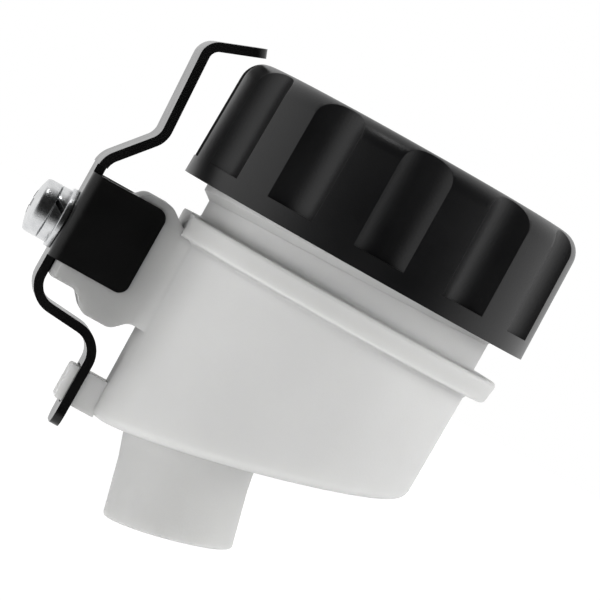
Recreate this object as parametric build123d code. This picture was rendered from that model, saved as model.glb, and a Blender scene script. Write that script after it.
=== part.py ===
from build123d import *
import math
import os

# Clutch fluid reservoir: a moulded plastic bowl with a screw cap, a rubber
# diaphragm, and a folded steel strap that a screw holds to a lug on the bowl.
#
# Part frame, in millimetres: +Z runs up the axis of the filler neck, +X points
# away from the strap, and the origin is the centre of the outlet spigot's mouth.
# The pieces are drawn about the axis of the neck, with z = 0 at the lower rim
# of the closed cap, and set in the part frame when they are written.
cap_axis_x = 4.9
cap_rim_z = 50.4

# Cuts and searches reach this far past the faces they are meant for, and edge
# lengths that differ by less than the tolerance count as equal
reach_past = 1.0
length_tolerance = 0.01

# Screw cap
cap_radius = 30.0
cap_top_radius = 29.6
cap_height = 20.6
cap_edge_round = 3.6
cap_edge_steps = 3
cap_top_wall = 2.6
cap_bore_radius = 26.4
cap_mouth_chamfer = 0.5
flute_count = 12
flute_phase = -2.4
flute_radius = 6.0
flute_depth = 2.1
flute_ledge_z = 2.9
plate_bead_radius = 25.9
plate_bead_start_z = 15.5
plate_bead_low_z = 16.0
plate_bead_high_z = 16.6

# Neck, flange and bowl
neck_radius = 24.4
neck_bore_radius = 22.2
neck_mouth_z = 14.8
flange_radius = 28.7
flange_low_radius = 28.2
flange_top_z = -5.2
flange_bottom_z = -8.9
flange_edge_chamfer = 0.5
flange_flat_x = -26.3
bowl_top_radius = 25.1
bowl_low_radius = 24.6
bowl_wall = 2.0
bowl_edge_chamfer = 1.2
neck_bore_taper = 1.0
bowl_low_z = -46.0

# Outlet spigot, square to the sloping floor of the bowl
floor_tilt = 14.2
spigot_length = 14.6
spigot_radius = 10.4
spigot_root_radius = 10.8
spigot_straight = 9.5
spigot_tip_chamfer = 0.4
outlet_bore_radius = 8.0

# Lug for the strap, and the peg that steadies the strap's lower end
screw_z = -15.7
lug_half_width = 5.4
lug_face_x = -41.1
nose_half_height = 8.4
upper_shoulder = [(-35.2, 8.4), (-33.6, 10.0), (-29.4, 10.0), (-26.2, 7.7)]
lower_shoulder = [(-36.2, -8.4), (-33.9, -11.1), (-28.9, -11.1), (-26.6, -8.9)]
lug_corner_round = 2.0
lug_root_round = 3.0
peg_end_x = -31.0
peg_top_z = -34.4
peg_height = 5.9
peg_width = 5.0
peg_round = 0.5

# Retaining strap, cut and folded from one sheet
sheet = 1.5
strap_width = 14.0
strap_low_width = 9.0
strap_middle_x = -41.95
hook_tip = (-28.3, 21.8)
hook_corner = (-36.75, 18.55)
upper_run_foot = (-35.95, 2.75)
joggle_foot = (strap_middle_x, -4.4)
lower_bend = (strap_middle_x, -28.2)
lower_corner = (-28.9, -29.3)
strap_tip = (-28.9, -44.1)
strap_bend_radii = [2.2, 3.2, 3.2, 4.0, 4.2]
strap_tip_round = 2.5
ear_top_z = -6.9
ear_bottom_z = -21.4
ear_reach_x = -29.45
ear_bend_radius = 2.5
ear_corner_round = 1.7
relief_width = 1.4
window_gap = 0.35

# Fastener: an M5 pan-head screw with its washers, in a moulded-in insert
screw_radius = 2.45
screw_length = 12.0
screw_hole_radius = 2.75
shank_point_chamfer = 0.6
head_radius = 4.5
head_height = 3.3
head_shoulder_chamfer = 0.9
recess_width = 1.3
recess_span = 4.9
recess_depth = 1.9
recess_low_radius = 0.8
spring_washer_height = 1.6
spring_washer_radius = 4.5
spring_washer_split = 0.8
spring_washer_slant = 35.0
spring_washer_turn = 20.0
plain_washer_height = 1.0
plain_washer_radius = 5.0
insert_radius = 3.9
insert_length = 9.2
insert_bore_radius = 2.5

# Diaphragm and its plate
seal_radius = 25.5
seal_height = 2.0
bellows_radius = 20.8
bellows_height = 1.8
pleat_run = 5.2
pleat_count = 2
pleat_top_z = 12.4
pleat_low_z = 7.0
plate_radius = 26.15
plate_height = 1.2
plate_vent_radius = 3.0


def turned(points):
    """A solid of revolution about the neck's axis, from (radius, z) corners."""
    return revolve(Plane.XZ * make_face(Polyline(*points, close=True)), Axis.Z)


def side_plate(outline, width):
    """A plate whose side view is the outline, centred on y = 0."""
    return extrude(Plane.XZ * outline, width / 2, both=True)


def along_screw(depth):
    """The plane that many millimetres out along the screw, from the strap's face."""
    face_x = strap_middle_x - sheet / 2
    return Plane(origin=(face_x - depth, 0, screw_z), x_dir=(0, 1, 0), z_dir=(-1, 0, 0))


def screw_cap():
    """Fluted cap: a drafted cup with scooped grips that stop on a rim band."""
    top = cap_height
    edge_z = top - cap_edge_round
    flat_radius = cap_top_radius - cap_edge_round
    edge = []
    for step in range(cap_edge_steps + 1):
        angle = math.radians(90 * step / cap_edge_steps)
        out = cap_edge_round * math.cos(angle)
        rise = cap_edge_round * math.sin(angle)
        edge.append((flat_radius + out, edge_z + rise))
    cap = turned([(0, 0), (cap_radius, 0), *edge, (0, top)])

    draft = math.atan((cap_radius - cap_top_radius) / edge_z)
    centre_x = cap_radius - flute_depth + flute_radius
    scoop = Rot(0, -math.degrees(draft), 0) * Cylinder(flute_radius, 2 * top)
    scoop = split(Pos(centre_x, 0, 0) * scoop, Plane.XY.offset(flute_ledge_z), keep=Keep.TOP)
    cap -= PolarLocations(0, flute_count, start_angle=flute_phase) * scoop

    roof = top - cap_top_wall
    return cap - turned([
        (0, -reach_past),
        (cap_bore_radius + cap_mouth_chamfer + reach_past, -reach_past),
        (cap_bore_radius, cap_mouth_chamfer),
        (cap_bore_radius, plate_bead_start_z),
        (plate_bead_radius, plate_bead_low_z),
        (plate_bead_radius, plate_bead_high_z),
        (cap_bore_radius, plate_bead_high_z),
        (cap_bore_radius, roof),
        (0, roof),
    ])


def reservoir_body():
    """Bowl, flange, neck, lug, peg and spigot, moulded in one piece."""
    tilt = math.radians(floor_tilt)
    upward = Vector(-math.sin(tilt), 0, math.cos(tilt))
    mouth = Vector(-cap_axis_x, 0, -cap_rim_z)
    spigot = Plane(origin=mouth, x_dir=(math.cos(tilt), 0, math.sin(tilt)), z_dir=upward)
    floor = spigot.offset(spigot_length)

    bowl = turned([
        (0, neck_mouth_z),
        (neck_radius, neck_mouth_z),
        (neck_radius, flange_top_z),
        (bowl_top_radius, flange_top_z),
        (bowl_low_radius, bowl_low_z),
        (0, bowl_low_z),
    ])
    bowl = split(bowl, floor, keep=Keep.TOP)
    bowl = chamfer(bowl.edges().sort_by(Axis.Z)[0], bowl_edge_chamfer)

    flange = turned([
        (neck_bore_radius, flange_top_z),
        (flange_radius, flange_top_z),
        (flange_low_radius, flange_bottom_z),
        (neck_bore_radius, flange_bottom_z),
    ])
    outer_edges = flange.edges().filter_by(lambda edge: edge.length > 2 * math.pi * neck_radius)
    flange = chamfer(outer_edges, flange_edge_chamfer)
    trim = 2 * flange_radius
    flange -= Pos(flange_flat_x - trim / 2, 0, 0) * Box(trim, trim, trim)

    cavity = turned([
        (0, neck_mouth_z + reach_past),
        (neck_bore_radius, neck_mouth_z + reach_past),
        (neck_bore_radius, flange_bottom_z),
        (bowl_top_radius - bowl_wall, flange_bottom_z - neck_bore_taper),
        (bowl_low_radius - bowl_wall, bowl_low_z),
        (0, bowl_low_z),
    ])
    cavity = split(cavity, floor.offset(bowl_wall), keep=Keep.TOP)

    tube_top = spigot_length + bowl_wall / 2
    tube = spigot * turned([
        (0, 0),
        (spigot_radius - spigot_tip_chamfer, 0),
        (spigot_radius, spigot_tip_chamfer),
        (spigot_radius, spigot_straight),
        (spigot_root_radius, spigot_length),
        (spigot_root_radius, tube_top),
        (0, tube_top),
    ])
    bore_length = spigot_length + 2 * bowl_wall
    bore = spigot * Pos(0, 0, bore_length / 2 - reach_past) * Cylinder(outlet_bore_radius, bore_length)

    in_wall_x = bowl_wall / 2 - bowl_low_radius
    outline = make_face(Polyline(
        (lug_face_x, nose_half_height),
        *upper_shoulder,
        (in_wall_x, upper_shoulder[-1][1]),
        (in_wall_x, lower_shoulder[-1][1]),
        *reversed(lower_shoulder),
        (lug_face_x, -nose_half_height),
        close=True,
    ))
    lug_root_x = upper_shoulder[-1][0]
    outer_corners = outline.vertices().filter_by_position(
        Axis.X, lug_face_x - reach_past, lug_root_x - reach_past
    )
    outline = Pos(0, screw_z) * fillet(outer_corners, lug_corner_round)

    blend_y = lug_half_width + lug_root_round
    blend_x = -math.sqrt((bowl_low_radius + lug_root_round) ** 2 - blend_y ** 2)
    at_bowl = bowl_low_radius / (bowl_low_radius + lug_root_round)
    nose_chamfer = ear_bend_radius - sheet
    side = Polyline(
        (blend_x * at_bowl, 0),
        (lug_face_x, 0),
        (lug_face_x, lug_half_width - nose_chamfer),
        (lug_face_x + nose_chamfer, lug_half_width),
        (blend_x, lug_half_width),
    )
    blend = RadiusArc((blend_x, lug_half_width), (blend_x * at_bowl, blend_y * at_bowl), -lug_root_round)
    plan = make_face(side + blend + Line((blend_x * at_bowl, blend_y * at_bowl), (blend_x * at_bowl, 0)))
    plan += mirror(plan, Plane.XZ)
    lug = side_plate(outline, 2 * blend_y) & extrude(plan, -bowl_low_z, both=True)

    peg_depth = in_wall_x - peg_end_x
    peg = Box(peg_depth, peg_width, peg_height, align=(Align.MIN, Align.CENTER, Align.MAX))
    peg = Pos(peg_end_x, 0, peg_top_z) * fillet(peg.edges().group_by(Axis.X)[0], peg_round)

    pocket_plane = along_screw(strap_middle_x - sheet / 2 - lug_face_x)
    pocket = extrude(pocket_plane * Circle(insert_radius), -insert_length)

    return bowl + flange + tube + lug + peg - cavity - bore - pocket


def retaining_strap():
    """Strap with a hook over the cap, ears round the lug and a window for the peg."""
    corners = [
        hook_tip, hook_corner, upper_run_foot, joggle_foot, lower_bend, lower_corner, strap_tip,
    ]
    path = Plane.XZ * FilletPolyline(*corners, radius=strap_bend_radii)
    section = Plane(origin=path @ 0, x_dir=(0, 1, 0), z_dir=path % 0) * Rectangle(strap_width, sheet)
    strap = sweep(section, path=path)
    narrow_top = ear_top_z + relief_width
    narrow_length = narrow_top - strap_tip[1] + sheet
    flank = Box(strap_width * 3, strap_width, narrow_length, align=(Align.CENTER, Align.MIN, Align.MAX))
    strap -= Pos(strap_middle_x, strap_low_width / 2, narrow_top) * flank
    strap -= Pos(strap_middle_x, -strap_low_width / 2 - strap_width, narrow_top) * flank
    corners_across = strap.edges().filter_by(lambda edge: abs(edge.length - sheet) < length_tolerance)
    for (x, z), width in ((hook_tip, strap_width), (strap_tip, strap_low_width)):
        ends = [corners_across.sort_by_distance((x, side * width / 2, z))[0] for side in (-1, 1)]
        strap = fillet(ends, strap_tip_round)

    ear_height = ear_top_z - ear_bottom_z
    outer_x = strap_middle_x - sheet / 2
    reach = ear_reach_x - outer_x
    channel = Rectangle(reach, strap_width, align=(Align.MIN, Align.CENTER))
    channel = fillet(channel.vertices().group_by(Axis.X)[0], ear_bend_radius)
    hollow = Rectangle(reach, strap_width - 2 * sheet, align=(Align.MIN, Align.CENTER))
    hollow = fillet(hollow.vertices().group_by(Axis.X)[0], ear_bend_radius - sheet)
    channel -= Pos(sheet, 0) * hollow
    ears = extrude(Plane((outer_x, 0, ear_bottom_z)) * channel, ear_height)
    ear_corners = ears.edges().filter_by(Axis.Y).group_by(Axis.X)[-1]
    strap += fillet(ear_corners, ear_corner_round)

    window_height = peg_height + 2 * window_gap
    window_z = peg_top_z - peg_height / 2
    strap -= Pos(strap_tip[0], 0, window_z) * Box(4 * sheet, peg_width + 2 * window_gap, window_height)
    strap -= extrude(along_screw(0) * Circle(screw_hole_radius), 2 * sheet, both=True)
    return strap


def strap_screw():
    """Pan-head screw with a cross recess."""
    under_head = plain_washer_height + spring_washer_height
    seat = along_screw(under_head)
    head = Pos(0, 0, head_height / 2) * Cylinder(head_radius, head_height)
    head = chamfer(head.edges().sort_by(Axis.Z)[-1], head_shoulder_chamfer)
    slot = Box(recess_span, recess_width, recess_depth)
    funnel = Cone(recess_low_radius, recess_span / 2, recess_depth)
    cross = (slot + Rot(0, 0, 90) * slot) & funnel
    head -= Pos(0, 0, head_height - recess_depth / 2) * cross
    shank = Pos(0, 0, -screw_length / 2) * Cylinder(screw_radius, screw_length)
    shank = chamfer(shank.edges().sort_by(Axis.Z)[0], shank_point_chamfer)
    return seat * (head + shank)


def spring_washer():
    """Split lock washer, closed up under the head, with a slanted split."""
    ring = Circle(spring_washer_radius) - Circle(screw_hole_radius)
    washer = extrude(ring, spring_washer_height)
    slit = Box(spring_washer_split, 2 * spring_washer_radius, 4 * spring_washer_height)
    slit = Pos(0, -spring_washer_radius, spring_washer_height / 2) * Rot(0, spring_washer_slant, 0) * slit
    return along_screw(plain_washer_height) * Rot(0, 0, spring_washer_turn) * (washer - slit)


def plain_washer():
    """Flat washer between the strap and the split washer."""
    ring = Circle(plain_washer_radius) - Circle(screw_hole_radius)
    return along_screw(0) * extrude(ring, plain_washer_height)


def threaded_insert():
    """Brass insert moulded into the lug's nose."""
    barrel = Circle(insert_radius) - Circle(insert_bore_radius)
    return along_screw(strap_middle_x - sheet / 2 - lug_face_x) * extrude(barrel, -insert_length)


def diaphragm():
    """Rubber bellows that hangs in the neck from its sealing flange."""
    under = [(bellows_radius, neck_mouth_z)]
    for pleat in range(1, pleat_count + 1):
        z = pleat_low_z if pleat % 2 else pleat_top_z
        under.append((bellows_radius - pleat * pleat_run, z))
    under.append((0, under[-1][1]))
    over = [(radius, z + bellows_height) for radius, z in reversed(under)]
    seal_top_z = neck_mouth_z + seal_height
    return turned(under + over[:-1] + [
        (bellows_radius, seal_top_z),
        (seal_radius, seal_top_z),
        (seal_radius, neck_mouth_z),
    ])


def diaphragm_plate():
    """Stiff disc that turns freely in the cap and presses the diaphragm's flange."""
    ring = Circle(plate_radius) - Circle(plate_vent_radius)
    return Pos(0, 0, neck_mouth_z + seal_height) * extrude(ring, plate_height)


pieces = {
    "reservoir_body": reservoir_body(),
    "screw_cap": screw_cap(),
    "diaphragm": diaphragm(),
    "diaphragm_plate": diaphragm_plate(),
    "retaining_strap": retaining_strap(),
    "strap_screw": strap_screw(),
    "spring_washer": spring_washer(),
    "plain_washer": plain_washer(),
    "threaded_insert": threaded_insert(),
}
os.makedirs("parts", exist_ok=True)
for node, solid in pieces.items():
    export_step(Pos(cap_axis_x, 0, cap_rim_z) * solid, f"parts/{node}.step")
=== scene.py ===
import bmesh
import bpy
import math
from mathutils import Matrix, Vector


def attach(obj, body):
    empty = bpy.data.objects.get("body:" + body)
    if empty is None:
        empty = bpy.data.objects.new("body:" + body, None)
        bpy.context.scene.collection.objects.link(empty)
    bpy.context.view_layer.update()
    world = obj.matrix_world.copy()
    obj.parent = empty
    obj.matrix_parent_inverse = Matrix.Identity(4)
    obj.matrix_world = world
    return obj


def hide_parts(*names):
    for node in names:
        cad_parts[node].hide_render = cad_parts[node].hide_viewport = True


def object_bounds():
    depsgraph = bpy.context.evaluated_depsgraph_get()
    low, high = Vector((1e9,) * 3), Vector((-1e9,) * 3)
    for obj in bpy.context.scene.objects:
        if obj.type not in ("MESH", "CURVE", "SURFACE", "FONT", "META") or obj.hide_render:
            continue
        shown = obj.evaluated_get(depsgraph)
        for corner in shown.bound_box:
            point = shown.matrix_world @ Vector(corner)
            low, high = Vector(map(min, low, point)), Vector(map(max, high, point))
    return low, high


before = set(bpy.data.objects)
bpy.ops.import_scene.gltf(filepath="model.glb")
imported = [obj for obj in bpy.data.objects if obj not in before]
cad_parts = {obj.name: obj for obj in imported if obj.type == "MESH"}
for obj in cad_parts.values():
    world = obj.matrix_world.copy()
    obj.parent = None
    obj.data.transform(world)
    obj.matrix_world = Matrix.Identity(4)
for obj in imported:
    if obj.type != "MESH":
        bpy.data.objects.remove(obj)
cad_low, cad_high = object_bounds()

# The studio: a product shot on white, taken with a long lens from a little
# above the cap's rim, with the whole reservoir leaning to the right. The floor
# lies well below, because the reservoir is held by its spigot and doesn't stand.
CAP_AXIS = Vector((0.0049, 0, 0.0504))
AZIMUTH = math.radians(7.5)
LEAN = math.radians(29.4)
AIM_LEFT = 0.0045
AIM_DROP = 0.0088
EYE_DISTANCE = 0.6
EYE_RISE = 0.0138
FOCAL_LENGTH = 231
forward = Vector((math.sin(AZIMUTH), math.cos(AZIMUTH), 0))
across = Vector((math.cos(AZIMUTH), -math.sin(AZIMUTH), 0))
aim = CAP_AXIS - AIM_LEFT * across + Vector((0, 0, -AIM_DROP))
eye = aim - EYE_DISTANCE * forward + Vector((0, 0, EYE_RISE))
view_line = (eye - aim).normalized()
level_up = view_line.cross(across).normalized()
right = math.cos(LEAN) * across + math.sin(LEAN) * level_up
up = view_line.cross(right)
camera = bpy.data.objects.new("camera", bpy.data.cameras.new("camera"))
camera.data.lens = FOCAL_LENGTH
camera.data.sensor_width = 36
turned_to_aim = Matrix((right, up, view_line)).transposed().to_4x4()
camera.matrix_world = Matrix.Translation(eye) @ turned_to_aim
bpy.context.scene.collection.objects.link(camera)
bpy.context.scene.camera = camera
bpy.context.scene.view_settings.view_transform = "Standard"


class Value:
    """A number that varies over a surface; arithmetic on it adds Math nodes."""

    def __init__(self, socket):
        self.socket = socket

    def _joined(self, operation, first, second):
        tree = self.socket.id_data
        node = tree.nodes.new("ShaderNodeMath")
        node.operation = operation
        for entry, value in zip(node.inputs, (first, second)):
            if isinstance(value, Value):
                tree.links.new(value.socket, entry)
            else:
                entry.default_value = value
        return Value(node.outputs[0])

    def __add__(self, other):
        return self._joined("ADD", self, other)

    def __radd__(self, other):
        return self._joined("ADD", other, self)

    def __sub__(self, other):
        return self._joined("SUBTRACT", self, other)

    def __rsub__(self, other):
        return self._joined("SUBTRACT", other, self)

    def __mul__(self, other):
        return self._joined("MULTIPLY", self, other)

    def __rmul__(self, other):
        return self._joined("MULTIPLY", other, self)


class Shading:
    """A node tree in which every node comes from one method."""

    def __init__(self, owner):
        owner.use_nodes = True
        self.tree = owner.node_tree

    def node(self, kind, *values, settings=None, output=0, **named):
        """A new node; its settings, such as a ramp's stops, are set before its sockets."""
        made = self.tree.nodes.new("ShaderNode" + kind)
        for name, setting in (settings or {}).items():
            if name == "stops":
                for stop, (place, shade) in zip(made.color_ramp.elements, setting):
                    stop.position = place
                    stop.color = (*shade, 1)
            else:
                setattr(made, name, setting)
        self.feed(made, *values, **named)
        return Value(made.outputs[output]) if made.outputs else None

    def feed(self, node, *values, **named):
        """Fills sockets in order, or by name with underscores for spaces."""
        entries = list(zip(node.inputs, values))
        entries += [(node.inputs[name.replace("_", " ")], value) for name, value in named.items()]
        for entry, value in entries:
            if isinstance(value, Value):
                self.tree.links.new(value.socket, entry)
            else:
                entry.default_value = value


def faded(shading, value, start, end, first, last):
    """Goes smoothly from a first to a last level while the value goes from start to end."""
    return shading.node(
        "MapRange", value, start, end, first, last, settings={"interpolation_type": "SMOOTHSTEP"},
    )


ROOM_LIGHT = 0.75
DARK_LEVEL = 0.012
room = bpy.data.worlds.new("white room")
bpy.context.scene.world = room
walls = Shading(room)
walls.tree.nodes.clear()
seen = walls.node("LightPath", output="Is Camera Ray")
mirrored = walls.node("LightPath", output="Is Glossy Ray")
through = walls.node("LightPath", output="Is Transmission Ray")
direct = walls.node("Math", seen, through, settings={"operation": "MAXIMUM"})
dark_way = 0.2 * across - forward + Vector((0, 0, 0.5))
facing = walls.node(
    "VectorMath", walls.node("TexCoord", output="Object"), tuple(dark_way),
    settings={"operation": "DOT_PRODUCT"}, output="Value",
)
dark_side = faded(walls, facing, 0.15, 0.92, 1.0, DARK_LEVEL)
strength = direct + (1 - direct) * dark_side * (mirrored + (1 - mirrored) * ROOM_LIGHT)
walls.node("OutputWorld", Surface=walls.node("Background", Color=(1, 1, 1, 1), Strength=strength))


def softbox(name, direction, distance, size, power, in_reflections=False):
    """A square light that faces the reservoir from a direction in the camera's own terms."""
    lamp = bpy.data.lights.new(name, "AREA")
    lamp.size = size
    lamp.energy = power
    holder = bpy.data.objects.new(name, lamp)
    toward = (direction[0] * right + direction[1] * up + direction[2] * view_line).normalized()
    turned_back = toward.to_track_quat("Z", "Y").to_matrix().to_4x4()
    holder.matrix_world = Matrix.Translation(aim + toward * distance) @ turned_back
    holder.visible_glossy = in_reflections
    bpy.context.scene.collection.objects.link(holder)


softbox("left softbox", (-1.0, 0.0, 0.4), distance=0.55, size=0.4, power=2.4)
softbox("right softbox", (1.0, -0.2, 0.3), distance=0.55, size=0.4, power=2.0)
softbox("front fill", (0.0, -0.1, 1.0), distance=0.9, size=0.5, power=5.0)
softbox("top lamp", (0.3, 1.0, 0.35), distance=0.6, size=0.05, power=0.25, in_reflections=True)

FLOOR_DROP = 0.14
FLOOR_HALF = 3
FLOOR_BACK = 2.85
sheet = bmesh.new()
bmesh.ops.create_grid(sheet, x_segments=1, y_segments=1, size=FLOOR_HALF)
bmesh.ops.translate(sheet, verts=sheet.verts, vec=(0, FLOOR_BACK, cad_low.z - FLOOR_DROP))
floor_mesh = bpy.data.meshes.new("floor")
sheet.to_mesh(floor_mesh)
sheet.free()
floor = bpy.data.objects.new("floor", floor_mesh)
bpy.context.scene.collection.objects.link(floor)
WHITE_SHARE = 0.8
paper = bpy.data.materials.new("white paper")
paint = Shading(paper)
paint.tree.nodes.clear()
plain = paint.node("BsdfDiffuse", Color=(0.92, 0.92, 0.92, 1))
glow = paint.node("Emission", Color=(1, 1, 1, 1), Strength=1.2)
white = paint.node(
    "Math", paint.node("LightPath", output="Is Camera Ray"),
    paint.node("LightPath", output="Is Glossy Ray"), settings={"operation": "MAXIMUM"},
)
lit = paint.node("MixShader", white * WHITE_SHARE, plain, glow)
paint.node("OutputMaterial", Surface=lit)
floor_mesh.materials.append(paper)

# The reservoir body: one milky polypropylene moulding. The bowl has a sloping
# floor with the wide outlet spigot square to it, a threaded neck over a
# flange, a lug for the strap's screw, and a peg low on the same side.
PLACE = Matrix.Translation(CAP_AXIS) @ Matrix.Scale(0.001, 4)  # millimetres from the cap's rim
NECK_RADIUS = 24.4
NECK_BORE = 22.2
NECK_THREAD_RADIUS = 25.9
THREAD_PITCH = 4.0
MOUTH_Z = 14.8
FLANGE_TOP = -5.2
FLANGE_BOTTOM = -8.9
FLANGE_RADIUS = 28.7
FLANGE_LOW_RADIUS = 28.2
FLANGE_FLAT_X = -26.3
BOWL_RADIUS = 25.05
BOWL_LOW_RADIUS = 24.6
BOWL_LOW = -46.0
BOWL_WALL = 2.0
FLOOR_TILT = math.radians(14.2)
SPIGOT_RADIUS = 10.4
SPIGOT_ROOT_RADIUS = 10.8
SPIGOT_BORE = 8
SPIGOT_LENGTH = 14.6
LUG_END = -41.1
LUG_HALF = 5.4
SCREW_Z = -15.7
INSERT_RADIUS = 3.9
INSERT_LENGTH = 9.2
PEG_END = -31.0
PEG_TOP = -34.4
PEG_BOTTOM = -40.3
PEG_HALF = 2.5
spigot_up = Vector((-math.sin(FLOOR_TILT), 0, math.cos(FLOOR_TILT)))
spigot_mouth = Vector((-4.9, 0, -50.4))


def picked(items, kind):
    """Those of an operator's results that are of one kind, such as its points."""
    return [item for item in items if isinstance(item, kind)]


def wire(points, rounds=None, closed=True):
    """A line through (x, z) corners, with the corners named in rounds turned to arcs."""
    bm = bmesh.new()
    corners = [bm.verts.new((x, 0, z)) for x, z in points]
    for start, end in zip(corners, corners[1:] + (corners[:1] if closed else [])):
        bm.edges.new((start, end))
    for index, radius in (rounds or {}).items():
        corner = corners[index]
        arms = [edge.other_vert(corner).co - corner.co for edge in corner.link_edges]
        turn = math.pi - arms[0].angle(arms[1])
        bmesh.ops.bevel(
            bm, geom=[corner], affect="VERTICES", offset=radius * math.tan(turn / 2),
            segments=max(3, round(math.degrees(turn) / 9)), profile=0.5, material=-1,
        )
    return bm


def turned(points, rounds=None, steps=168):
    """A closed solid spun about the z axis from (radius, z) corners."""
    bm = wire(points, rounds)
    bmesh.ops.spin(
        bm, geom=bm.verts[:] + bm.edges[:], cent=(0, 0, 0), axis=(0, 0, 1),
        angle=2 * math.pi, steps=steps, use_merge=True,
    )
    bmesh.ops.remove_doubles(bm, verts=bm.verts, dist=1e-4)
    bmesh.ops.recalc_face_normals(bm, faces=bm.faces)
    return bm


def slab(points, half_width, rounds=None):
    """A plate whose side view is the outline, as thick as y = -half_width to +half_width."""
    bm = wire(points, rounds)
    bmesh.ops.contextual_create(bm, geom=bm.edges[:])
    bmesh.ops.translate(bm, verts=bm.verts, vec=(0, -half_width, 0))
    grown = bmesh.ops.extrude_face_region(bm, geom=bm.faces[:])["geom"]
    bmesh.ops.translate(
        bm, verts=picked(grown, bmesh.types.BMVert), vec=(0, 2 * half_width, 0),
    )
    bmesh.ops.recalc_face_normals(bm, faces=bm.faces)
    return bm


def trimmed(bm, point, outward, round_off=0.0):
    """Cuts off what lies outward of a plane, closes the cut, and rounds its edge."""
    cut = bmesh.ops.bisect_plane(
        bm, geom=bm.verts[:] + bm.edges[:] + bm.faces[:], dist=1e-5,
        plane_co=point, plane_no=outward, clear_outer=True,
    )
    rim = picked(cut["geom_cut"], bmesh.types.BMEdge)
    bmesh.ops.contextual_create(bm, geom=rim)
    if round_off:
        bmesh.ops.bevel(
            bm, geom=rim, affect="EDGES", offset=round_off, segments=7, profile=0.5,
            material=-1, clamp_overlap=True,
        )
    bmesh.ops.recalc_face_normals(bm, faces=bm.faces)
    return bm


def rods(radius, length, places, segments=64):
    """Straight cylinders of one size, each centred at one of the places."""
    bm = bmesh.new()
    for place in places:
        bmesh.ops.create_cone(
            bm, cap_ends=True, segments=segments, radius1=radius, radius2=radius, depth=length,
            matrix=place,
        )
    return bm


def thread_rib(root_radius, crest_radius, start_z, start_angle, turns):
    """One helical rib with blunt ends, sunk a little into the wall that carries it."""
    sunk, foot_half, crest_half, steps_a_turn = 0.3, 1.9, 0.5, 72
    root = root_radius - math.copysign(sunk, crest_radius - root_radius)
    bm = wire([
        (root, start_z - foot_half), (crest_radius, start_z - crest_half),
        (crest_radius, start_z + crest_half), (root, start_z + foot_half),
    ])
    bm.transform(Matrix.Rotation(math.radians(start_angle), 4, "Z"))
    first = bmesh.ops.contextual_create(bm, geom=bm.edges[:])["faces"]
    last = picked(bmesh.ops.duplicate(bm, geom=first)["geom"], bmesh.types.BMVert)
    ring = [edge for edge in bm.edges if edge.link_faces[0] in first]
    sweep = 2 * math.pi * turns
    rise = THREAD_PITCH * turns
    bmesh.ops.rotate(bm, verts=last, cent=(0, 0, 0), matrix=Matrix.Rotation(sweep, 3, "Z"))
    bmesh.ops.translate(bm, verts=last, vec=(0, 0, rise))
    corners = list(dict.fromkeys(vert for edge in ring for vert in edge.verts))
    steps = round(steps_a_turn * turns)
    bmesh.ops.spin(
        bm, geom=ring + corners, cent=(0, 0, 0), axis=(0, 0, 1), angle=sweep, steps=steps,
        dvec=(0, 0, rise / steps), use_merge=False,
    )
    bmesh.ops.remove_doubles(bm, verts=bm.verts, dist=1e-3)
    bmesh.ops.recalc_face_normals(bm, faces=bm.faces)
    return bm


def placed(name, bm):
    """An object at the origin that holds the shape where the piece belongs."""
    bm.transform(PLACE)
    mesh = bpy.data.meshes.new(name)
    bm.to_mesh(mesh)
    bm.free()
    piece = bpy.data.objects.new(name, mesh)
    bpy.context.scene.collection.objects.link(piece)
    return piece


def lifted(piece):
    """The piece's shape, taken back to millimetres from the cap's rim."""
    bm = bmesh.new()
    bm.from_mesh(piece.data)
    bm.transform(PLACE.inverted())
    return bm


def applied(piece):
    """Makes the piece's modifiers part of its mesh."""
    bpy.context.view_layer.update()
    whole = piece.evaluated_get(bpy.context.evaluated_depsgraph_get())
    mesh = bpy.data.meshes.new_from_object(whole)
    piece.modifiers.clear()
    old = piece.data
    piece.data = mesh
    mesh.name = piece.name
    bpy.data.meshes.remove(old)


def ordered(piece):
    """Stores the mesh in one fixed order, because a Boolean leaves another one each time."""
    old = piece.data
    by_place = sorted(range(len(old.vertices)), key=lambda index: tuple(old.vertices[index].co))
    rank = {index: spot for spot, index in enumerate(by_place)}
    rings = []
    for face in old.polygons:
        ring = [rank[index] for index in face.vertices]
        first = ring.index(min(ring))
        rings.append(ring[first:] + ring[:first])
    bm = bmesh.new()
    corners = [bm.verts.new(old.vertices[index].co) for index in by_place]
    for ring in sorted(rings):
        bm.faces.new([corners[spot] for spot in ring])
    bm.to_mesh(old)
    bm.free()


def combined(piece, operation, *others):
    """Joins other shapes to the piece, cuts them out of it, or keeps what they share."""
    for other in others:
        tool = placed("tool", other)
        step = piece.modifiers.new("shape", "BOOLEAN")
        step.operation = operation
        step.solver = "EXACT"
        step.object = tool
        applied(piece)
        ordered(piece)
        bpy.data.objects.remove(tool)


def cleaned(piece, flat=0.0):
    """Merges points that coincide and, up to the flat angle, faces that lie in one plane."""
    bm = bmesh.new()
    bm.from_mesh(piece.data)
    bmesh.ops.remove_doubles(bm, verts=bm.verts, dist=1e-5)
    bmesh.ops.dissolve_degenerate(bm, edges=bm.edges, dist=1e-5)
    if flat:
        bmesh.ops.dissolve_limit(
            bm, angle_limit=math.radians(flat), verts=bm.verts, edges=bm.edges,
            use_dissolve_boundaries=False,
        )
    bm.to_mesh(piece.data)
    bm.free()


def shaded(piece, weighting="FACE_AREA"):
    """Shades the piece smooth, with steep edges kept crisp; weighting by area keeps flats flat."""
    cleaned(piece)
    piece.data.shade_smooth()
    piece.data.set_sharp_from_angle(angle=math.radians(38))
    even = piece.modifiers.new("shading", "WEIGHTED_NORMAL")
    even.mode = weighting
    even.keep_sharp = True
    applied(piece)


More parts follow.
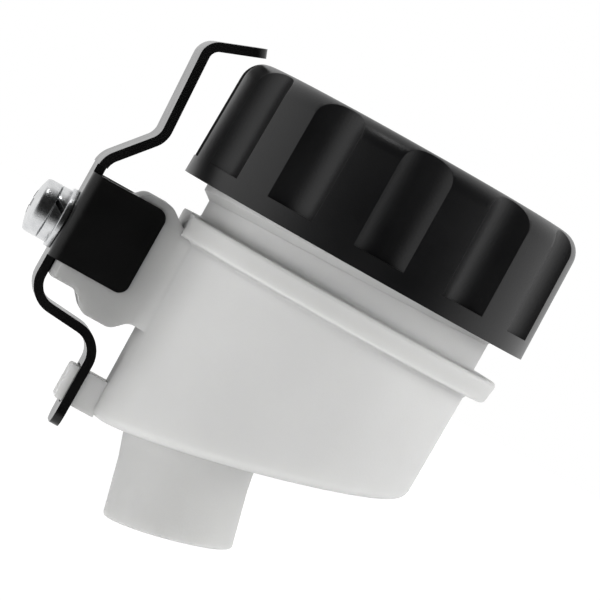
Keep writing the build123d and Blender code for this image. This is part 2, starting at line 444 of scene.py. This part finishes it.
def softened(piece, width, segments=2):
    """Gives the piece's edges a small round, in millimetres, and shades it."""
    cleaned(piece, flat=0.2)
    round_off = piece.modifiers.new("edges", "BEVEL")
    round_off.width = width / 1000
    round_off.segments = segments
    round_off.limit_method = "ANGLE"
    round_off.angle_limit = math.radians(32)
    round_off.use_clamp_overlap = True
    applied(piece)
    shaded(piece)


def finish(name, tint, roughness, mottle, grain, bump, **constants):
    """A material with a mottled tint and gloss over a fine grain.

    The roughness is its least and its spread. Mottle and grain are the scale and
    the detail of their noise, and bump is the strength and the height of the grain.
    """
    made = bpy.data.materials.new(name)
    skin = Shading(made)
    place = skin.node("TexCoord", output="Object")
    cloud = skin.node("TexNoise", Vector=place, Scale=mottle[0], Detail=mottle[1])
    fine = skin.node("TexNoise", Vector=place, Scale=grain[0], Detail=grain[1])
    skin.feed(
        skin.tree.nodes["Principled BSDF"], Base_Color=tint(skin, place, cloud),
        Roughness=roughness[0] + cloud * roughness[1],
        Normal=skin.node("Bump", Strength=bump[0], Distance=bump[1], Height=fine), **constants,
    )
    return made


def dressed(piece, material):
    """Gives the piece one material."""
    piece.data.materials.clear()
    piece.data.materials.append(material)


bowl = turned([
    (0, MOUTH_Z), (NECK_RADIUS, MOUTH_Z), (NECK_RADIUS, FLANGE_TOP), (FLANGE_RADIUS, FLANGE_TOP),
    (FLANGE_LOW_RADIUS, FLANGE_BOTTOM), (BOWL_RADIUS, FLANGE_BOTTOM),
    (BOWL_LOW_RADIUS, BOWL_LOW), (0, BOWL_LOW),
], {2: 0.5, 3: 0.7, 4: 0.7, 5: 1.0})
bowl = trimmed(bowl, spigot_mouth + spigot_up * SPIGOT_LENGTH, -spigot_up, 1.6)
bowl = trimmed(bowl, (FLANGE_FLAT_X, 0, 0), (-1, 0, 0))
cavity = turned([
    (0, MOUTH_Z + 1), (NECK_BORE, MOUTH_Z + 1), (NECK_BORE, FLANGE_BOTTOM),
    (BOWL_RADIUS - BOWL_WALL, FLANGE_BOTTOM - 1), (BOWL_LOW_RADIUS - BOWL_WALL, BOWL_LOW),
    (0, BOWL_LOW),
], steps=120)
inner_floor = spigot_mouth + spigot_up * (SPIGOT_LENGTH + BOWL_WALL)
cavity = trimmed(cavity, inner_floor, -spigot_up, 1.0)

spigot_frame = Matrix.Translation(spigot_mouth) @ Matrix.Rotation(-FLOOR_TILT, 4, "Y")
tube = turned([
    (0, 0), (SPIGOT_RADIUS, 0), (SPIGOT_RADIUS, 9.5), (SPIGOT_ROOT_RADIUS, SPIGOT_LENGTH),
    (SPIGOT_ROOT_RADIUS, SPIGOT_LENGTH + 1), (0, SPIGOT_LENGTH + 1),
], {1: 0.5}, steps=120)
tube.transform(spigot_frame)
bore = turned([
    (0, -1), (SPIGOT_BORE, -1), (SPIGOT_BORE, SPIGOT_LENGTH + 3), (0, SPIGOT_LENGTH + 3),
], steps=96)
bore.transform(spigot_frame)

lug = slab([
    (LUG_END, 8.4), (-35.2, 8.4), (-33.6, 10.0), (-29.4, 10.0), (-26.2, 7.7), (-23.6, 7.7),
    (-23.6, -8.9), (-26.6, -8.9), (-28.9, -11.1), (-33.9, -11.1), (-36.2, -8.4), (LUG_END, -8.4),
], 9, {0: 0.6, 1: 2.0, 2: 2.0, 3: 2.0, 4: 2.0, 7: 2.0, 8: 2.0, 9: 2.0, 10: 2.0, 11: 0.6})
bmesh.ops.translate(lug, verts=lug.verts, vec=(0, 0, SCREW_Z))
nose = slab([
    (LUG_END, LUG_HALF - 1), (LUG_END + 1, LUG_HALF), (-24.36, LUG_HALF), (-23.69, 7.5),
    (-23.69, -7.5), (-24.36, -LUG_HALF), (LUG_END + 1, -LUG_HALF), (LUG_END, 1 - LUG_HALF),
], 30, {2: 3.0, 5: 3.0})
nose.transform(Matrix.Rotation(math.pi / 2, 4, "X"))
peg = slab(
    [(PEG_END, PEG_TOP), (-24.1, PEG_TOP), (-24.1, PEG_BOTTOM), (PEG_END, PEG_BOTTOM)],
    PEG_HALF, {0: 0.5, 3: 0.5},
)
pocket_middle = Matrix.Translation((LUG_END + INSERT_LENGTH / 2, 0, SCREW_Z))
pocket = rods(
    INSERT_RADIUS, INSERT_LENGTH, [pocket_middle @ Matrix.Rotation(math.pi / 2, 4, "Y")],
)

reservoir_body = placed("reservoir_body_skin", bowl)
lug_block = placed("lug", lug)
combined(lug_block, "INTERSECT", nose)
lug_shape = lifted(lug_block)
bpy.data.objects.remove(lug_block)
combined(reservoir_body, "UNION", tube, lug_shape, peg)
combined(reservoir_body, "DIFFERENCE", cavity, bore, pocket)
softened(reservoir_body, 0.22)
neck_thread = thread_rib(
    NECK_RADIUS, NECK_THREAD_RADIUS, start_z=-0.7, start_angle=165, turns=2.75,
)
combined(reservoir_body, "UNION", neck_thread)
shaded(reservoir_body, weighting="CORNER_ANGLE")
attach(reservoir_body, "reservoir")
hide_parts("reservoir_body")


def milky_tint_and_painted_shade(skin, place, cloud):
    """An even pale grey with painted shade on the lug, where the ear and strap shade it, and close
    under the cap, and darker on the spigot.
    """
    side = skin.node("SeparateXYZ", place, output="X")
    height = skin.node("SeparateXYZ", place, output="Z")
    along_spigot = skin.node(
        "VectorMath", place, tuple(spigot_up), settings={"operation": "DOT_PRODUCT"},
        output="Value",
    )
    # Painted shade: the lug above the peg is up to 38 % darker, where the ear and strap shade it.
    outward = faded(skin, side, -0.026, -0.015, 0.38, 0.0)
    above_peg = faded(skin, height, 0.016, 0.022, 0.0, 1.0)
    # Painted shade: up to 9 % darker close under the black cap.
    painted_shade_under_cap = faded(skin, height, 0.0395, 0.043, 0.0, 0.09)
    on_spigot = faded(skin, along_spigot, 0.011, 0.016, 0.13, 0.0)
    grey = (0.53 + cloud * 0.06) * (1 - outward * above_peg) * (1 - painted_shade_under_cap) * (1 - on_spigot)
    return skin.node("CombineColor", Red=grey, Green=grey, Blue=grey * 0.99)


dressed(reservoir_body, finish(
    "milky polypropylene", milky_tint_and_painted_shade, roughness=(0.4, 0.1), mottle=(60.0, 3.0),
    grain=(2600.0, 2.0), bump=(0.12, 0.0001), Subsurface_Weight=0.9,
    Subsurface_Radius=(1.0, 1.0, 0.95), Subsurface_Scale=0.005, IOR=1.49,
))

# The screw cap: black moulded plastic with twelve scooped grips that stop on a
# ledge above the rim band, a coarse thread inside, and a bead that holds the
# plate of the diaphragm up under its roof.
CAP_HEIGHT = 20.6
CAP_RADIUS = 30.0
CAP_TOP_RADIUS = 29.6
CAP_EDGE_ROUND = 3.6
CAP_MOUTH = 27.9
CAP_BORE = 26.4
CAP_ROOF = 18.0
BEAD_RADIUS = 25.9
CAP_THREAD_RADIUS = 25.0
FLUTE_COUNT = 12
FLUTE_PHASE = -2.4
FLUTE_RADIUS = 6.0
FLUTE_DEPTH = 2.1
LEDGE_Z = 2.9
shell = turned([
    (0, CAP_HEIGHT), (CAP_TOP_RADIUS, CAP_HEIGHT), (CAP_RADIUS, 0), (0, 0),
], {1: CAP_EDGE_ROUND}, steps=216)
inside = turned([
    (0, -1), (CAP_MOUTH, -1), (CAP_BORE, 0.5), (CAP_BORE, 15.5), (BEAD_RADIUS, 16.0),
    (BEAD_RADIUS, 16.6), (CAP_BORE, 16.6), (CAP_BORE, CAP_ROOF), (0, CAP_ROOF),
], steps=120)
draft = (CAP_RADIUS - CAP_TOP_RADIUS) / CAP_HEIGHT
low_centre = CAP_RADIUS - draft * LEDGE_Z - FLUTE_DEPTH + FLUTE_RADIUS
lean_in = Matrix.Shear("XY", 4, (-draft, 0))
scoop_length = CAP_HEIGHT + 2 - LEDGE_Z
upright = (
    Matrix.Translation((low_centre, 0, LEDGE_Z)) @ lean_in
    @ Matrix.Translation((0, 0, scoop_length / 2))
)
scoops = rods(FLUTE_RADIUS, scoop_length, [
    Matrix.Rotation(math.radians(FLUTE_PHASE + 360 / FLUTE_COUNT * index), 4, "Z") @ upright
    for index in range(FLUTE_COUNT)
], segments=96)
screw_cap = placed("screw_cap_skin", shell)
combined(screw_cap, "DIFFERENCE", scoops, inside)
softened(screw_cap, 0.3)
cap_thread = thread_rib(CAP_BORE, CAP_THREAD_RADIUS, start_z=3.47, start_angle=0, turns=2)
combined(screw_cap, "UNION", cap_thread)
shaded(screw_cap)
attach(screw_cap, "cap")
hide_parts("screw_cap")


def between(dark, light, dark_stop=0.3, light_stop=0.7):
    """A tint that the mottle moves from a dark to a light colour."""
    stops = ((dark_stop, dark), (light_stop, light))
    return lambda skin, place, cloud: skin.node("ValToRGB", cloud, settings={"stops": stops})


dressed(screw_cap, finish(
    "black moulded plastic", between((0.003, 0.003, 0.0033), (0.005, 0.005, 0.0053)),
    roughness=(0.3, 0.12), mottle=(90.0, 4.0), grain=(3200.0, 2.0), bump=(0.2, 0.0001), IOR=1.47,
))

# The retaining strap: one 1.5 mm steel stamping with a black coating. It hooks
# over the cap's edge, folds two ears back round the lug, and ends below in a
# narrower tongue with a window for the peg.
SHEET = 1.5
STRAP_FACE = -42.7
STRAP_HALF = 7.0
TONGUE_HALF = 4.5
EAR_TOP = -6.9
EAR_BOTTOM = -21.4
EAR_REACH = -29.45
SCREW_HOLE = 2.75
WINDOW_GAP = 0.35
CORNER_ROUND = 2.5
middle_x = STRAP_FACE + SHEET / 2
path = wire([
    (-28.3, 21.8), (-36.75, 18.55), (-35.95, 2.75), (middle_x, -4.4), (middle_x, -28.2),
    (-28.9, -29.3), (-28.9, -44.1),
], {1: 2.2, 2: 3.2, 3: 3.2, 4: 4.0, 5: 4.2}, closed=False)
bmesh.ops.translate(path, verts=path.verts, vec=(0, -STRAP_HALF, 0))
grown = bmesh.ops.extrude_edge_only(path, edges=path.edges[:])["geom"]
bmesh.ops.translate(path, verts=picked(grown, bmesh.types.BMVert), vec=(0, 2 * STRAP_HALF, 0))
bmesh.ops.recalc_face_normals(path, faces=path.faces)
retaining_strap = placed("retaining_strap_skin", path)
thicken = retaining_strap.modifiers.new("sheet", "SOLIDIFY")
thicken.thickness = SHEET / 1000
thicken.offset = 0
thicken.use_even_offset = True
applied(retaining_strap)


def block(low_corner, high_corner):
    """A plain cutting block between two corners."""
    bm = bmesh.new()
    bmesh.ops.create_cube(bm, size=1)
    low_corner, high_corner = Vector(low_corner), Vector(high_corner)
    bmesh.ops.scale(bm, verts=bm.verts, vec=high_corner - low_corner)
    bmesh.ops.translate(bm, verts=bm.verts, vec=(low_corner + high_corner) / 2)
    return bm


shoulder_z = EAR_TOP + 1.4
combined(
    retaining_strap, "DIFFERENCE",
    block((-60, TONGUE_HALF, -60), (-20, 20, shoulder_z)),
    block((-60, -20, -60), (-20, -TONGUE_HALF, shoulder_z)),
)
ears = slab([
    (STRAP_FACE, -STRAP_HALF), (EAR_REACH, -STRAP_HALF), (EAR_REACH, SHEET - STRAP_HALF),
    (STRAP_FACE + SHEET, SHEET - STRAP_HALF), (STRAP_FACE + SHEET, STRAP_HALF - SHEET),
    (EAR_REACH, STRAP_HALF - SHEET), (EAR_REACH, STRAP_HALF), (STRAP_FACE, STRAP_HALF),
], (EAR_TOP - EAR_BOTTOM) / 2, {0: 2.5, 3: 1.0, 4: 1.0, 7: 2.5})
ear_middle = Matrix.Translation((0, 0, (EAR_TOP + EAR_BOTTOM) / 2))
ears.transform(ear_middle @ Matrix.Rotation(math.pi / 2, 4, "X"))
ear_corners = [
    edge for edge in ears.edges
    if all(abs(vert.co.x - EAR_REACH) < 0.01 for vert in edge.verts)
    and abs(edge.verts[0].co.z - edge.verts[1].co.z) < 0.01
]
bmesh.ops.bevel(
    ears, geom=ear_corners, affect="EDGES", offset=1.7, segments=8, profile=0.5, material=-1,
)
combined(retaining_strap, "UNION", ears)
hole_middle = Matrix.Translation((STRAP_FACE, 0, SCREW_Z))
screw_hole = rods(SCREW_HOLE, 6, [hole_middle @ Matrix.Rotation(math.pi / 2, 4, "Y")])
window = block(
    (-34, -PEG_HALF - WINDOW_GAP, PEG_BOTTOM - WINDOW_GAP),
    (-26, PEG_HALF + WINDOW_GAP, PEG_TOP + WINDOW_GAP),
)
combined(retaining_strap, "DIFFERENCE", screw_hole, window)
shape = lifted(retaining_strap)
tip_edges = [
    edge for edge in shape.edges
    if 1.3 < edge.calc_length() < 1.7 and abs(edge.verts[0].co.y - edge.verts[1].co.y) < 0.01
    and (edge.verts[0].co.x > -29 and edge.verts[0].co.z > 20 or edge.verts[0].co.z < -44)
]
bmesh.ops.bevel(
    shape, geom=tip_edges, affect="EDGES", offset=CORNER_ROUND, segments=8, profile=0.5,
    material=-1,
)
shape.transform(PLACE)
shape.to_mesh(retaining_strap.data)
shape.free()
softened(retaining_strap, 0.16, segments=3)
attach(retaining_strap, "reservoir")
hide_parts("retaining_strap")
dressed(retaining_strap, finish(
    "black coated steel",
    between((0.0025, 0.0025, 0.0025), (0.004, 0.004, 0.004), light_stop=0.75),
    roughness=(0.18, 0.12), mottle=(140.0, 5.0), grain=(900.0, 2.0), bump=(0.15, 0.0002), IOR=1.36,
))

# The screw and its washers: M5 steel with bright zinc plate. The split washer
# is squeezed flat between the pan head and the larger plain washer.
PLAIN_RADIUS = 5.0
PLAIN_THICK = 1.0
SPLIT_RADIUS = 4.5
SPLIT_THICK = 1.6
HEAD_RADIUS = 4.5
HEAD_HEIGHT = 3.3
CROWN = 0.9
CROWN_STEPS = 15
SHANK_RADIUS = 2.45
SHANK_LENGTH = 12
RECESS_REACH = 2.45
RECESS_HALF = 0.65
RECESS_FLOOR = 1.4
RECESS_TOP = 4.0
RECESS_TAPER = 0.45
outboard = hole_middle @ Matrix.Rotation(-math.pi / 2, 4, "Y")
washer_ring = turned([
    (SCREW_HOLE, 0), (PLAIN_RADIUS, 0), (PLAIN_RADIUS, PLAIN_THICK), (SCREW_HOLE, PLAIN_THICK),
], steps=96)
washer_ring.transform(outboard)
plain_washer = placed("plain_washer_skin", washer_ring)
softened(plain_washer, 0.2, segments=3)

split_ring = turned([
    (SCREW_HOLE, 0), (SPLIT_RADIUS, 0), (SPLIT_RADIUS, SPLIT_THICK), (SCREW_HOLE, SPLIT_THICK),
], steps=96)
slit = block((-0.4, -9.2, -3), (0.4, 0, 3))
slit_middle = Matrix.Translation((0, 0, SPLIT_THICK / 2))
slit.transform(slit_middle @ Matrix.Rotation(math.radians(35), 4, "Y"))
on_plain_washer = outboard @ Matrix.Translation((0, 0, PLAIN_THICK))
turn_and_seat = on_plain_washer @ Matrix.Rotation(math.radians(20), 4, "Z")
split_ring.transform(turn_and_seat)
slit.transform(turn_and_seat)
spring_washer = placed("spring_washer_skin", split_ring)
combined(spring_washer, "DIFFERENCE", slit)
softened(spring_washer, 0.25, segments=3)

crown_radius = (HEAD_RADIUS ** 2 + CROWN ** 2) / (2 * CROWN)
crown_angle = math.asin(HEAD_RADIUS / crown_radius)
dome = [
    (crown_radius * math.sin(angle), HEAD_HEIGHT - crown_radius * (1 - math.cos(angle)))
    for angle in [crown_angle * part / CROWN_STEPS for part in range(CROWN_STEPS + 1)]
]
shank = [(HEAD_RADIUS, 0), (SHANK_RADIUS, 0), (SHANK_RADIUS, -SHANK_LENGTH), (0, -SHANK_LENGTH)]
head = turned(dome + shank, {CROWN_STEPS: 1.1, CROWN_STEPS + 1: 0.35}, steps=84)
seat = outboard @ Matrix.Translation((0, 0, PLAIN_THICK + SPLIT_THICK))
head.transform(seat)
strap_screw = placed("strap_screw_skin", head)
softened(strap_screw, 0.1)
near, far = RECESS_HALF, RECESS_REACH
recess = slab([
    (far, near), (near, near), (near, far), (-near, far), (-near, near), (-far, near),
    (-far, -near), (-near, -near), (-near, -far), (near, -far), (near, -near), (far, -near),
], (RECESS_TOP - RECESS_FLOOR) / 2)
recess_middle = Matrix.Translation((0, 0, (RECESS_TOP + RECESS_FLOOR) / 2))
recess.transform(recess_middle @ Matrix.Rotation(math.pi / 2, 4, "X"))
for vert in recess.verts:
    if vert.co.z < (RECESS_TOP + RECESS_FLOOR) / 2:
        vert.co.x *= RECESS_TAPER if abs(vert.co.x) > (near + far) / 2 else 1
        vert.co.y *= RECESS_TAPER if abs(vert.co.y) > (near + far) / 2 else 1
recess.transform(seat)
combined(strap_screw, "DIFFERENCE", recess)
shaded(strap_screw)

zinc = finish(
    "bright zinc plate", between((0.55, 0.56, 0.57), (0.74, 0.745, 0.75)),
    roughness=(0.16, 0.22), mottle=(500.0, 5.0), grain=(4000.0, 3.0), bump=(0.2, 0.0001),
    Metallic=1.0,
)
for piece, node in (
    (plain_washer, "plain_washer"), (spring_washer, "spring_washer"), (strap_screw, "strap_screw"),
):
    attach(piece, "reservoir")
    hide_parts(node)
    dressed(piece, zinc)

# The hidden pieces: the rubber bellows and its stiff plate under the cap, and
# the brass insert in the lug. Their CAD shapes are shown as they are.
for node, name, dark, light, least_roughness, metallic in (
    ("diaphragm", "moulded rubber", (0.012, 0.012, 0.012), (0.02, 0.02, 0.02), 0.6, 0.0),
    ("diaphragm_plate", "plate plastic", (0.6, 0.6, 0.58), (0.7, 0.7, 0.68), 0.45, 0.0),
    ("threaded_insert", "turned brass", (0.6, 0.42, 0.16), (0.75, 0.56, 0.25), 0.3, 1.0),
):
    dressed(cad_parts[node], finish(
        name, between(dark, light), roughness=(least_roughness, 0.1), mottle=(120.0, 3.0),
        grain=(1500.0, 2.0), bump=(0.15, 0.0001), Metallic=metallic,
    ))
